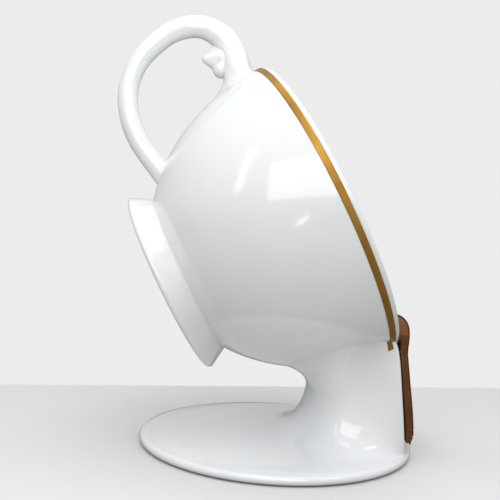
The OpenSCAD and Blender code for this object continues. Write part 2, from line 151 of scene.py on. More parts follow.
def bezier(a, b, c, d, t):
    t = t.reshape((-1,) + (1,) * a.ndim)
    return (1 - t) ** 3 * a + 3 * t * (1 - t) ** 2 * b + 3 * t * t * (1 - t) * c + t ** 3 * d


def catmull(points, steps):
    p = np.asarray(points, float)
    out = []
    for i in range(len(p) - 1):
        a, b, c, d = p[max(0, i - 1)], p[i], p[i + 1], p[min(len(p) - 1, i + 2)]
        for k in range(steps):
            t = k / steps
            out.append(0.5 * (2 * b + (c - a) * t + (2 * a - 5 * b + 4 * c - d) * t * t
                              + (3 * b - a - 3 * c + d) * t ** 3))
    out.append(p[-1])
    return np.array(out)


def settle(ob, **modifiers):
    """Adds modifiers, named by kind, and applies them all to the mesh."""
    for kind, values in modifiers.items():
        m = ob.modifiers.new(kind.lower(), kind)
        for k, v in values.items():
            setattr(m, k, v)
    graph = bpy.context.evaluated_depsgraph_get()
    me = bpy.data.meshes.new_from_object(ob.evaluated_get(graph))
    ob.modifiers.clear()
    ob.data = me
    me.shade_smooth()
    return ob


def points_of(ob):
    """The mesh's points in millimetres."""
    co = np.empty(len(ob.data.vertices) * 3)
    ob.data.vertices.foreach_get("co", co)
    return co.reshape(-1, 3) / MM


def set_points(ob, co):
    ob.data.vertices.foreach_set("co", (np.asarray(co) * MM).ravel())
    ob.data.update()


def inflate(ob, cap, pinned, pressure=4.0):
    """Swells a closed mesh as cloth with air in it. No point moves more than cap, in millimetres, and the
    pinned points, a weight for each, are held as a seam holds them."""
    rest = points_of(ob)
    m = ob.modifiers.new("swell", "CLOTH")
    c = m.settings
    c.use_pressure = True
    c.uniform_pressure_force = pressure
    c.effector_weights.gravity = 0
    c.mass, c.quality = 0.3, 6
    c.bending_stiffness = 2.0
    group = ob.vertex_groups.new(name="seams")
    for i in np.nonzero(pinned > 0.01)[0]:
        group.add([int(i)], float(pinned[i]), "REPLACE")
    c.vertex_group_mass = "seams"
    scene = bpy.context.scene
    for f in range(1, 21):
        scene.frame_set(f)
    graph = bpy.context.evaluated_depsgraph_get()
    me = ob.evaluated_get(graph).to_mesh()
    co = np.empty(len(me.vertices) * 3)
    me.vertices.foreach_get("co", co)
    move = co.reshape(-1, 3) / MM - rest
    far = np.linalg.norm(move, axis=1, keepdims=True)
    ob.modifiers.clear()
    scene.frame_set(1)
    set_points(ob, rest + move * np.minimum(1, cap / np.maximum(far, 1e-6)))


def tree_of(ob):
    me = ob.data
    return BVHTree.FromPolygons([v.co for v in me.vertices], [p.vertices for p in me.polygons])


def touch(tree, start, way):
    """Point and normal, in millimetres, where a ray from start meets a piece, or None."""
    hit, n, _, _ = tree.ray_cast(Vector(start) * MM, Vector(way).normalized())
    return None if hit is None else (np.array(hit) / MM, np.array(n))


def spaced(path, pitch):
    """Points at an even pitch along a path, and the path's direction there."""
    path = np.asarray(path, float)
    run = np.concatenate([[0], np.cumsum(np.linalg.norm(np.diff(path, axis=0), axis=1))])
    at = np.arange(pitch / 2, run[-1], pitch)
    p = np.stack([np.interp(at, run, path[:, k]) for k in range(3)], -1)
    d = np.gradient(p, axis=0)
    return p, d / np.maximum(np.linalg.norm(d, axis=1, keepdims=True), 1e-9)


STITCH_PITCH, STITCH_L, STITCH_R = 6.0, 4.2, 0.75


def stitches(name, paths):
    """Short thread stitches along paths, each a list of (point, normal) on a surface."""
    verts, faces = [], []
    turn = np.linspace(0, 2 * math.pi, 6, endpoint=False)
    for path in paths:
        p, d = spaced([q for q, _ in path], STITCH_PITCH)
        normals = spaced_normals(path, STITCH_PITCH)
        for q, t, n in zip(p, d, normals):
            b = np.cross(t, n)
            start = len(verts)
            for s, w in ((-0.5, 0.25), (-0.35, 0.9), (0, 1), (0.35, 0.9), (0.5, 0.25)):
                mid = q + t * s * STITCH_L + n * (0.35 * w - 0.1)
                verts += [tuple(mid + STITCH_R * w * (math.cos(a) * b + math.sin(a) * n)) for a in turn]
            faces += grid_faces(5, 6, True, False, start)
            faces += [tuple(range(start + 5, start - 1, -1)), tuple(range(start + 24, start + 30))]
    return mesh_piece(name, verts, faces, 80)


def spaced_normals(path, pitch):
    q = np.array([p for p, _ in path])
    n = np.array([m for _, m in path])
    run = np.concatenate([[0], np.cumsum(np.linalg.norm(np.diff(q, axis=0), axis=1))])
    at = np.arange(pitch / 2, run[-1], pitch)
    out = np.stack([np.interp(at, run, n[:, k]) for k in range(3)], -1)
    return out / np.linalg.norm(out, axis=1, keepdims=True)


def tube(name, path, r, sides=12, closed=False):
    """A round tube along a path of points in millimetres."""
    p = np.asarray(path, float)
    d = (np.roll(p, -1, 0) - np.roll(p, 1, 0)) if closed else np.gradient(p, axis=0)
    d /= np.linalg.norm(d, axis=1, keepdims=True)
    side = np.cross(d, [0.0, 0.0, 1.0])
    side = np.where(np.linalg.norm(side, axis=1, keepdims=True) < 0.05, [1.0, 0, 0], side)
    side /= np.linalg.norm(side, axis=1, keepdims=True)
    up = np.cross(side, d)
    a = np.linspace(0, 2 * math.pi, sides, endpoint=False)[None, :, None]
    grid = p[:, None] + r * (np.cos(a) * side[:, None] + np.sin(a) * up[:, None])
    verts, faces = grid.reshape(-1, 3).tolist(), grid_faces(len(p), sides, True, closed)
    if not closed:
        faces += [tuple(range(sides - 1, -1, -1)), tuple(range((len(p) - 1) * sides, len(p) * sides))]
    return mesh_piece(name, verts, faces, 60)


def joined(first, *others):
    """Joins pieces into the first one, each keeping its own material."""
    bpy.ops.object.select_all(action="DESELECT")
    for ob in (first, *others):
        ob.select_set(True)
    bpy.context.view_layer.objects.active = first
    bpy.ops.object.join()
    return first


# ---- Materials --------------------------------------------------------------------------------------
def node(tree, kind, **values):
    """A shader node with its sockets and properties set; an underscore in a name stands for a space."""
    n = tree.nodes.new("ShaderNode" + kind)
    for k, v in values.items():
        if k.replace("_", " ") in n.inputs:
            n.inputs[k.replace("_", " ")].default_value = v
        else:
            setattr(n, k, v)
    return n


def grain(tree, kind, scale, stretch=(1, 1, 1), detail=3.0):
    """A noise or cell texture in the piece's own metres, stretched along X, Y or Z."""
    place = node(tree, "Mapping", Scale=stretch)
    tree.links.new(node(tree, "TexCoord").outputs["Object"], place.inputs["Vector"])
    if kind == "cells":
        tex = node(tree, "TexVoronoi", Scale=scale)
        out = tex.outputs["Distance"]
    elif kind == "weave":
        tex = node(tree, "TexWave", Scale=scale, Distortion=0.6, Detail=1.0)
        out = tex.outputs["Fac"]
    else:
        tex = node(tree, "TexNoise", Scale=scale, Detail=detail)
        out = tex.outputs["Fac"]
    tree.links.new(place.outputs["Vector"], tex.inputs["Vector"])
    return out


def material(name, low, high, patches, rough, bumps, metal=0.0, **sockets):
    """low and high are the colours that a patches texture runs between, rough the roughness at both,
    and bumps a list of (texture, height in metres)."""
    m = bpy.data.materials.new(name)
    m.use_nodes = True
    t = m.node_tree
    b = t.nodes["Principled BSDF"]
    b.inputs["Metallic"].default_value = metal
    for k, v in sockets.items():
        b.inputs[k.replace("_", " ")].default_value = v
    source = grain(t, *patches)
    ramp = node(t, "ValToRGB")
    ramp.color_ramp.elements[0].position, ramp.color_ramp.elements[1].position = 0.3, 0.7
    ramp.color_ramp.elements[0].color = (*low, 1)
    ramp.color_ramp.elements[1].color = (*high, 1)
    t.links.new(source, ramp.inputs["Fac"])
    t.links.new(ramp.outputs["Color"], b.inputs["Base Color"])
    spread = node(t, "MapRange", To_Min=rough[0], To_Max=rough[1])
    t.links.new(source, spread.inputs["Value"])
    t.links.new(spread.outputs["Result"], b.inputs["Roughness"])
    normal = None
    for texture, height in bumps:
        bump = node(t, "Bump", Strength=1.0, Distance=height)
        t.links.new(grain(t, *texture), bump.inputs["Height"])
        if normal:
            t.links.new(normal, bump.inputs["Normal"])
        normal = bump.outputs["Normal"]
    t.links.new(normal, b.inputs["Normal"])
    return m


def gel_coat():
    return material("white_gelcoat", (0.785, 0.805, 0.825), (0.825, 0.845, 0.86), ("noise", 3.0),
                    (0.16, 0.1), [(("noise", 55.0), 0.00012), (("noise", 9.0), 0.0006)],
                    Coat_Weight=0.5, Coat_Roughness=0.04)


def white_panel():
    return material("white_panel", (0.74, 0.745, 0.75), (0.8, 0.8, 0.81), ("noise", 30.0), (0.5, 0.4),
                    [(("cells", 900.0), 0.0001)])


def gold_leaf():
    return material("gold_trim", (0.26, 0.13, 0.02), (0.5, 0.29, 0.06), ("noise", 7.0, (1, 1, 1), 5.0),
                    (0.5, 0.4), [(("noise", 260.0, (1, 0.15, 1)), 0.0001)], metal=1.0)


def powder_steel():
    return material("frame_steel", (0.03, 0.031, 0.034), (0.05, 0.05, 0.055), ("noise", 25.0), (0.55, 0.42),
                    [(("cells", 1100.0), 0.00012)])


def zinc():
    return material("zinc_steel", (0.42, 0.43, 0.44), (0.68, 0.69, 0.68), ("cells", 160.0), (0.42, 0.3),
                    [(("noise", 700.0), 0.00006)], metal=1.0)


def plywood():
    return material("plywood", (0.42, 0.27, 0.14), (0.66, 0.48, 0.29), ("noise", 9.0, (2, 22, 60), 6.0),
                    (0.7, 0.58), [(("noise", 90.0, (1, 12, 12)), 0.0004), (("weave", 35.0, (0, 0, 10)), 0.0003)])


def rubber():
    return material("rubber", (0.014, 0.014, 0.015), (0.028, 0.028, 0.03), ("noise", 40.0), (0.85, 0.7),
                    [(("cells", 600.0), 0.0002)])


def nylon_tape():
    return material("nylon_tape", (0.016, 0.016, 0.018), (0.045, 0.045, 0.05), ("noise", 300.0), (0.9, 0.75),
                    [(("weave", 260.0, (1, 1, 0)), 0.0004), (("noise", 1500.0), 0.0003)], Sheen_Weight=0.4)


def foam():
    return material("foam", (0.72, 0.6, 0.34), (0.83, 0.73, 0.47), ("noise", 60.0), (0.95, 0.88),
                    [(("cells", 900.0), 0.0008)])


def leather(name, low, high, rough=(0.56, 0.38)):
    """Aniline leather: uneven dye, pebbled grain about two millimetres across and long soft creases."""
    return material(name, low, high, ("noise", 11.0, (1, 1, 1), 7.0), rough,
                    [(("cells", 520.0), 0.0007), (("noise", 1400.0), 0.0002),
                     (("noise", 42.0, (1, 2.5, 1), 6.0), 0.0012)],
                    Sheen_Weight=0.03, Sheen_Roughness=0.4, Specular_IOR_Level=0.16)


def thread():
    return material("thread", (0.3, 0.17, 0.08), (0.42, 0.26, 0.13), ("noise", 500.0), (0.8, 0.65),
                    [(("weave", 700.0, (1, 1, 1)), 0.0002)])


WHITE, PANEL, GOLD, STEEL, ZINC = gel_coat(), white_panel(), gold_leaf(), powder_steel(), zinc()
PLY, RUBBER, NYLON, FOAM, THREAD = plywood(), rubber(), nylon_tape(), foam(), thread()
BROWN = leather("brown_leather", (0.125, 0.046, 0.012), (0.185, 0.072, 0.018))
# A lighter, redder copy of the brown leather: painted light on the upper ends of the roll, where they face the
# light.
LIT_END_LEATHER = leather("painted_lit_leather", (0.2, 0.08, 0.036), (0.29, 0.12, 0.056))
WELT = leather("leather_piping", (0.05, 0.019, 0.008), (0.1, 0.04, 0.016), (0.5, 0.34))
SUEDE = leather("suede_lining", (0.07, 0.032, 0.016), (0.11, 0.052, 0.026), (0.95, 0.85))

KEPT = {"foot_cap": PANEL, "foot_cap_screws": ZINC, "handle_core": STEEL, "handle_plates": ZINC,
        "handle_nuts": ZINC, "base_plate": STEEL, "base_blocks": PLY, "base_screws": ZINC,
        "floor_pads": RUBBER, "frame_posts": STEEL, "post_gussets": STEEL, "saddle_plate": STEEL, "pan_pads": RUBBER,
        "pan_bolts": ZINC, "mid_rib": PLY, "rear_rib": PLY, "hook_strips": NYLON, "loop_strips": NYLON,
        "seat_board": PLY, "seat_foam": FOAM, "seat_zip": NYLON, "fall_hem_weight": ZINC}


def dress_kept_nodes():
    for name, finish in KEPT.items():
        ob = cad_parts[name]
        if not ob.material_slots:
            ob.data.materials.append(finish)
        for place in ob.material_slots:
            place.material = finish


def dress(ob, finish, body="root", replaces=()):
    """Gives a piece its material and its body, and hides the CAD nodes that it stands for."""
    if finish:
        ob.data.materials.clear()
        ob.data.materials.append(finish)
    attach(ob, body)
    if replaces:
        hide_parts(*replaces)
    return ob


# ---- Camera -----------------------------------------------------------------------------------------
CAM_AT, CAM_TO, CAM_ROLL, LENS = (-1.879, 0.148, 0.530), (0.0, 0.100, 0.572), 2.92, 44.35


def make_camera():
    cam = bpy.data.objects.new("camera", bpy.data.cameras.new("camera"))
    cam.data.lens = LENS
    cam.data.sensor_width = 36
    turn = (Vector(CAM_TO) - Vector(CAM_AT)).to_track_quat("-Z", "Y").to_matrix().to_4x4()
    cam.matrix_world = Matrix.Translation(CAM_AT) @ turn @ Matrix.Rotation(math.radians(CAM_ROLL), 4, "Z")
    bpy.context.scene.collection.objects.link(cam)
    bpy.context.scene.camera = cam


# ---- Cup --------------------------------------------------------------------------------------------
def make_cup():
    a0, a1 = math.asin(BEAD_H / BOWL_D), math.asin((SHELL_FLOOR - 7) / BOWL_D)
    outer = [(RIM_R * math.cos(a), -BOWL_D * math.sin(a)) for a in np.linspace(a0, a1, 130)]
    inner = [((RIM_R - WALL) * math.cos(a), -(BOWL_D - WALL) * math.sin(a)) for a in np.linspace(a1, a0, 60)]
    profile = outer + [(182, -SHELL_FLOOR), (0.001, -SHELL_FLOOR), (0.001, -SHELL_FLOOR + WALL)] + inner
    return dress(revolve("cup_skin", profile, 320), WHITE, replaces=["cup_shell"])


def make_bead():
    r = 11.0
    p = [(LINER_R, -BEAD_H), (RIM_R - 1, -BEAD_H), (RIM_R, -BEAD_H + 1)]
    p += arc(RIM_R - r, -r, r, 0, 90, 14) + arc(LINER_R + r, -r, r, 90, 180, 14)
    return dress(revolve("rim_lip", p, 320), WHITE, replaces=["rim_bead"])


def make_bucket():
    """Inner skin: a smaller bowl whose lowest part is flattened into the seat pan."""
    def surface(r, d, floor, soft):
        a = np.linspace(math.asin(BEAD_H / d), math.pi / 2 - 1e-3, 150)[:, None]
        t = np.linspace(0, 2 * math.pi, 320, endpoint=False)[None, :]
        ring = r * np.cos(a)
        g = from_cup(np.stack([ring * np.cos(t), ring * np.sin(t), -d * np.sin(a) + 0 * t], -1))
        h = g[..., 2] - floor
        g[..., 2] = floor + 0.5 * (h + np.sqrt(h * h + soft * soft))
        return g
    inner = surface(LINER_R, LINER_D, PAN_Z - 0.2, 9)
    outer = surface(LINER_R + LINER_T, LINER_D + LINER_T, PAN_Z - LINER_T - 2.5, 9)
    grid = np.concatenate([inner[::-1], outer], 0)
    return dress(grid_piece("bucket_skin", grid), WHITE, replaces=["seat_bucket"])


def make_foot():
    """Straight flared ring that meets the bowl in a crisp line and ends in a rounded edge."""
    b, lip, inner = -FOOT_D, 10.0, FOOT_R - 28
    root = b + FOOT_H
    p = [(bowl_r(root) - 4, root + 2), (bowl_r(root) + 0.3, root + 0.5)]
    edge = arc(FOOT_R - lip, b + lip, lip, 22, -90, 16)
    start = np.array([bowl_r(root) + 1.2, root - 0.5])
    p += [tuple(start + k * (np.array(edge[0]) - start)) for k in np.linspace(0, 1, 10)[:-1]]
    p += edge + arc(inner + 6, b + 6, 6, -90, -180, 8) + [(inner, b + 22), (bowl_r(root - 14) - 2, root - 14)]
    return dress(revolve("foot_flare", p, 288, 40), WHITE, replaces=["foot_ring"])


def make_band():
    """Two strips of metal behind the rim, each from the pour up to the handle's root."""
    near, far, t = -BEAD_H - 1, -BEAD_H - 1 - BAND_W, 1.1
    profile = [(bowl_r(near) - 0.5, near), (bowl_r(near) + 0.6 * t, near), (bowl_r(near - 1) + t, near - 1)]
    profile += [(bowl_r(z) + t, z) for z in np.linspace(near - 4, far + 4, 5)]
    profile += [(bowl_r(far + 1) + t, far + 1), (bowl_r(far) + 0.6 * t, far), (bowl_r(far) - 0.5, far)]
    p = np.array(profile)
    low, high = math.asin(POUR_W / RIM_R) + 0.012, math.pi - math.radians(8)
    verts, faces = [], []
    for side in (-1, 1):
        a = side * np.linspace(low, high, 150) - math.pi / 2
        grid = np.stack([p[:, :1] * np.cos(a), p[:, :1] * np.sin(a), p[:, 1:] + 0 * a], -1)
        faces += grid_faces(*grid.shape[:2], False, True, start=len(verts))
        verts += from_cup(grid).reshape(-1, 3).tolist()
    return dress(mesh_piece("rim_band", verts, faces), GOLD, replaces=["gold_band"])


# ---- Handle -----------------------------------------------------------------------------------------
# Centre line in the cup's frame as (radial, axial, tube radius), from the rim side round to the foot side
HANDLE = [(556, -48.5, 43), (582, -49, 41), (606, -53, 39), (640, -72, 36), (668, -101, 34),
          (685, -141, 33), (690, -190, 32), (681, -240, 31.5), (659, -302, 31), (622, -353, 30),
          (570, -393, 31), (500, -417, 31), (440, -422, 31), (390, -417, 31), (352, -409, 32)]
ROOT_AXIAL, ROOT_SIDE, ROOT_FRONT, ROOT_BACK = -57.0, 190.0, 46.0, 150.0


def ray_to_bowl(p, d, out):
    k = np.array([1 / (RIM_R + out), 1 / (RIM_R + out), 1 / (BOWL_D + out)])
    q, e = p * k, d * k
    a, b, c = (e * e).sum(-1), 2 * (q * e).sum(-1), (q * q).sum(-1) - 1
    return (-b - np.sqrt(np.maximum(0, b * b - 4 * a * c))) / (2 * a)


HANDLE_SIDES, SADDLE_ROWS, HANDLE_WALL = 96, 26, 5.0


def make_handle():
    line = catmull(HANDLE, 10)
    centre = np.stack([0 * line[:, 0], line[:, 0], line[:, 1]], -1)
    head = np.gradient(centre, axis=0)
    head /= np.linalg.norm(head, axis=1, keepdims=True)
    across = np.stack([0 * head[:, 0], -head[:, 2], head[:, 1]], -1)
    turn = np.linspace(0, 2 * math.pi, HANDLE_SIDES, endpoint=False)
    sin_t, cos_t = np.sin(turn)[:, None], np.cos(turn)[:, None]

    def ring(i, r):
        return centre[i] + r * (sin_t * np.array([1.0, 0, 0]) + cos_t * across[i])

    def landing(share):
        """Where the saddle of the upper root ends on the bowl; share runs from its middle to its edge."""
        reach = np.where(cos_t > 0, ROOT_FRONT, ROOT_BACK)
        x, z = share * ROOT_SIDE * sin_t, ROOT_AXIAL + share * reach * cos_t
        return np.concatenate([x, np.sqrt(bowl_r(z, -0.8) ** 2 - x * x), z], 1)

    def saddle():
        p, land = ring(0, line[0, 2]), landing(1.0)
        run = land - landing(0.9)
        run /= np.linalg.norm(run, axis=1, keepdims=True)
        spread = np.linalg.norm((land - p)[:, [0, 2]], axis=1, keepdims=True)
        hug = (0.82 - 0.3 * sin_t ** 2) * spread
        return bezier(p, p - head[0] * 52, land - run * hug, land, np.linspace(0, 1, SADDLE_ROWS))

    def socket():
        """The lower root keeps the tube's width and meets the bowl in a crisp line."""
        p = ring(len(line) - 1, line[-1, 2])
        wide = centre[-1] + (p - centre[-1]) * 1.07
        land = wide + head[-1] * ray_to_bowl(wide, head[-1], -1.0)[:, None]
        return bezier(p, p + (land - wide) * 0.5, land - (land - wide) * 0.1, land, np.linspace(0, 1, 10))

    body = np.array([ring(i, line[i, 2]) for i in range(len(line))])
    outer = np.concatenate([saddle()[:0:-1], body, socket()[1:]], 0)
    n = grid_normals(outer)
    n *= np.sign(((outer - outer.mean(axis=1, keepdims=True)) * n).sum(-1, keepdims=True))
    grid = np.concatenate([outer, (outer - HANDLE_WALL * n)[::-1]], 0)
    return dress(grid_piece("handle_loop", from_cup(grid), 60, True, True), WHITE,
                 replaces=["handle_tube"])


BALL_POINTS = 260


def hull_of(balls, bm):
    """Adds the hull of balls, each (y, z, radius) in the middle plane, to a bmesh."""
    k = np.arange(BALL_POINTS) + 0.5
    polar, turn = np.arccos(1 - 2 * k / BALL_POINTS), math.pi * (1 + math.sqrt(5)) * k
    unit = np.stack([np.sin(polar) * np.cos(turn), np.sin(polar) * np.sin(turn), np.cos(polar)], -1)
    new = [bm.verts.new(((0, y, z) + r * q) * MM) for y, z, r in balls for q in unit]
    hull = bmesh.ops.convex_hull(bm, input=new)
    bmesh.ops.delete(bm, geom=list({g for g in hull["geom_interior"] if isinstance(g, bmesh.types.BMVert)}),
                     context="VERTS")


def make_thumb_rest():
    """A pointed lobe and a round lobe, run together, on the inside of the handle."""
    me = bpy.data.meshes.new("thumb_leaf")
    bm = bmesh.new()
    hull_of([(212, 1156, 34), (238, 1181, 13), (263, 1150, 15), (230, 1140, 24)], bm)
    hull_of([(206, 1142, 30), (216, 1120, 27)], bm)
    bm.to_mesh(me)
    bm.free()
    ob = bpy.data.objects.new("thumb_leaf", me)
    bpy.context.scene.collection.objects.link(ob)
    settle(ob, REMESH=dict(mode="VOXEL", voxel_size=0.0022, use_smooth_shade=True),
           SMOOTH=dict(factor=0.5, iterations=10))
    return dress(ob, WHITE, replaces=["thumb_rest"])


# ---- Pedestal ---------------------------------------------------------------------------------------
# Levels of the pour: half width and forward place of its front corners, bow of the front between them,
# greatest half width, and the forward places of that width and of the rear
LOW = (178, 354, 20, 300, 165, -25)
WAIST = (POUR_W, 335, 20, 203, 196, 93)
HIGH = (POUR_W, 306, 30, 272, 181, 14)


# Middle height of the base's rounded edge, and how many rows of the skin are inside it
EDGE_Z, EDGE_ROWS = 13, 18


def dome_z(r):
    return EDGE_H + 14 * (1 - np.minimum(1, r / 385) ** 2)


def front_spot(level, u):
    return np.stack([level[0] * u, -level[1] - level[2] * (1 - u * u)], -1)


POUR_CUTS = (110, 90, 130)     # points along each side, round the rear and across the front


def pour_outline(level):
    """Closed outline of a level from above: right side, rear, left side, then across the bowed front."""
    half_w, front, _, w, c, b = level
    a = np.radians(np.linspace(90, 0, POUR_CUTS[0], endpoint=False))
    side = np.stack([half_w + (w - half_w) * np.cos(a), c + (front - c) * np.degrees(a) / 90], -1)
    a = np.radians(np.linspace(0, 90, POUR_CUTS[1]))
    rear = np.stack([w * np.cos(a), c - (c - b) * np.sin(a)], -1)
    half = np.concatenate([side, rear]) * [1, -1]
    across = front_spot(level, np.linspace(-1, 1, POUR_CUTS[2] + 1)[1:-1])
    loop = np.concatenate([half, half[-2::-1] * [-1, 1], across])
    k = np.exp(-0.5 * (np.arange(-9, 10) / 2.0) ** 2)
    k /= k.sum()
    return sum(share * np.roll(loop, s, 0) for share, s in zip(k, range(-9, 10)))


def pour_column(low, mid, high, t):
    """Points up columns of the pour at t from 0, on the base, through 1, the waist, to 2, the cup."""
    f = np.c_[low, dome_z(np.linalg.norm(low, axis=1))]
    w = np.c_[mid, np.full(len(mid), WAIST_Z)]
    j = np.c_[high, under_cup(high[:, 0], high[:, 1], -1.5)]
    flat, up = np.array([1.0, 1.0, 0.0]), np.array([0.0, 0.0, 1.0])
    lean = 0.8 * (j - f) * flat / (j - f)[:, 2:] + up
    below = w - 0.55 * (w - f)[:, 2:] * lean
    over = w + 0.55 * (j - w)[:, 2:] * lean
    foot = f + 0.7 * (below - f) * flat
    neck = w + (j - w) * np.array([0.45, 0.45, 0.85])
    return np.concatenate([bezier(f, foot, below, w, t[t <= 1]), bezier(w, over, neck, j, t[t > 1] - 1)], 0)


def pour_front(x, z):
    """Forward place of the pour's front at distances x from the middle plane and heights z."""
    u = np.clip(np.atleast_1d(x) / POUR_W, -1, 1)
    col = pour_column(front_spot(LOW, u), front_spot(WAIST, u), front_spot(HIGH, u), np.linspace(0, 2, 61))
    return np.array([np.interp(z, col[:, i, 2], -col[:, i, 1]) for i in range(len(u))])


def make_pedestal():
    low, mid, high = pour_outline(LOW), pour_outline(WAIST), pour_outline(HIGH)
    columns = pour_column(low, mid, high, np.linspace(0, 2, 52))
    # The base's top, from its rounded edge in to the pour's footprint
    c = np.array([0.0, -165.0])
    d = low - c
    qa, qb, qc = (d * d).sum(1), 2 * (d * c).sum(1), (c * c).sum() - (BASE_R - EDGE_R) ** 2
    rim = c + d * ((-qb + np.sqrt(qb * qb - 4 * qa * qc)) / (2 * qa))[:, None]
    unit = rim / np.linalg.norm(rim, axis=1, keepdims=True)
    rows = []
    for r, z in [(BASE_R - 16, 3.0)] + arc(BASE_R - EDGE_R, EDGE_Z, EDGE_R, -90, 62, 14):
        rows.append(np.c_[unit * r, np.full(len(rim), EDGE_Z + (z - EDGE_Z) * (1.0 if z < EDGE_Z else 1.22))])
    edge = rows[-1]
    for k in np.linspace(0, 1, 22)[1:-1]:
        p = edge[:, :2] + k * (low - edge[:, :2])
        z = dome_z(np.linalg.norm(p, axis=1))
        rows.append(np.c_[p, edge[:, 2] + min(1, k * 6) * (z - edge[:, 2])])
    outer = np.concatenate([np.array(rows), columns], 0)
    n = grid_normals(outer)
    if n[60, 0, 0] < 0:
        n = -n
    inner = outer - WALL * n
    inner[:EDGE_ROWS] = np.c_[unit * (BASE_R - 17), np.full(len(rim), 3.2)]
    grid = np.concatenate([outer, inner[::-1]], 0)
    return dress(grid_piece("pour_and_base", grid, 50, True, True), WHITE,
                 replaces=["pedestal_shell"])


def make_tail():
    """Short end of the band on the pour's near side, cut off at a slant."""
    low, mid, high = pour_outline(LOW), pour_outline(WAIST), pour_outline(HIGH)
    verts, faces = [], []
    for side in (-1, 1):
        pick = (high[:, 0] * side > 0) & (-high[:, 1] > 273) & (-high[:, 1] < 291)
        col = pour_column(low[pick], mid[pick], high[pick], np.linspace(1.2, 2, 90))
        strip = []
        for i in range(col.shape[1]):
            cut = 313 + 6 * i / col.shape[1] if side < 0 else 319 - 6 * i / col.shape[1]
            z = np.linspace(cut, col[-1, i, 2], 12)
            strip.append(np.stack([np.interp(z, col[:, i, 2], col[:, i, k]) for k in range(3)], -1))
        grid = np.array(strip)
        n = grid_normals(grid, False)
        n *= np.sign(n[..., :1]) * side
        shell = np.concatenate([grid - 0.6 * n, (grid + 1.0 * n)[::-1]], 0)
        faces += grid_faces(*shell.shape[:2], False, True, start=len(verts))
        verts += shell.reshape(-1, 3).tolist()
    return dress(mesh_piece("band_tails", verts, faces), GOLD)


# ---- Seat cushion -----------------------------------------------------------------------------------
def mouth_fwd(z):
    return RIM_FWD + (RIM_Z - z) / math.tan(TILT)


def lip_fwd(x):
    return RIM_FWD + np.sqrt(RIM_R ** 2 - x * x) * COS


def lip_z(x):
    return RIM_Z - np.sqrt(RIM_R ** 2 - x * x) * SIN


def slice_at(z, inset):
    """Centre and half axes along Y and X of the bucket's inside at a height, shrunk by inset."""
    a, d, h = LINER_R - inset, LINER_D - inset, z - RIM_Z
    qa = COS ** 2 / a ** 2 + SIN ** 2 / d ** 2
    qb = 2 * h * SIN * COS * (1 / a ** 2 - 1 / d ** 2)
    qc = h * h * (SIN ** 2 / a ** 2 + COS ** 2 / d ** 2) - 1
    mid = -qb / (2 * qa)
    left = math.sqrt(mid * mid - qc / qa)
    return mid - RIM_FWD, left, a * left * math.sqrt(qa)


def cushion_outline(z, inset, n=240):
    """Outline of the cushion at a height: the bucket's section, cut off at the mouth by the front roll."""
    y0, ry, rx = slice_at(z, 5)
    a = np.linspace(0, 2 * math.pi, n, endpoint=False)
    x, y = (rx - inset + 5) * np.cos(a), y0 + (ry - inset + 5) * np.sin(a)
    return np.stack([x, np.maximum(y, -mouth_fwd(z) + inset - 5), np.full(n, z)], -1)


def crown(x, y):
    """How far the cushion's top stands up, from 0 at its edge to 1 at its middle."""
    y0, ry, rx = slice_at(SEAT_Z, 5)
    front = -mouth_fwd(SEAT_Z)
    round_ = np.clip(1 - (x / rx) ** 2 - ((y - y0) / ry) ** 2, 0, 1)
    return np.minimum(1, round_ * 2.2) ** 0.6 * np.clip((y - front) / 90, 0, 1) ** 0.5


SEAMS = (-96.0, 96.0)


COVER_GAP, PANEL_Z = 5.2, 372      # cover to bucket, and the height above which the top panel begins


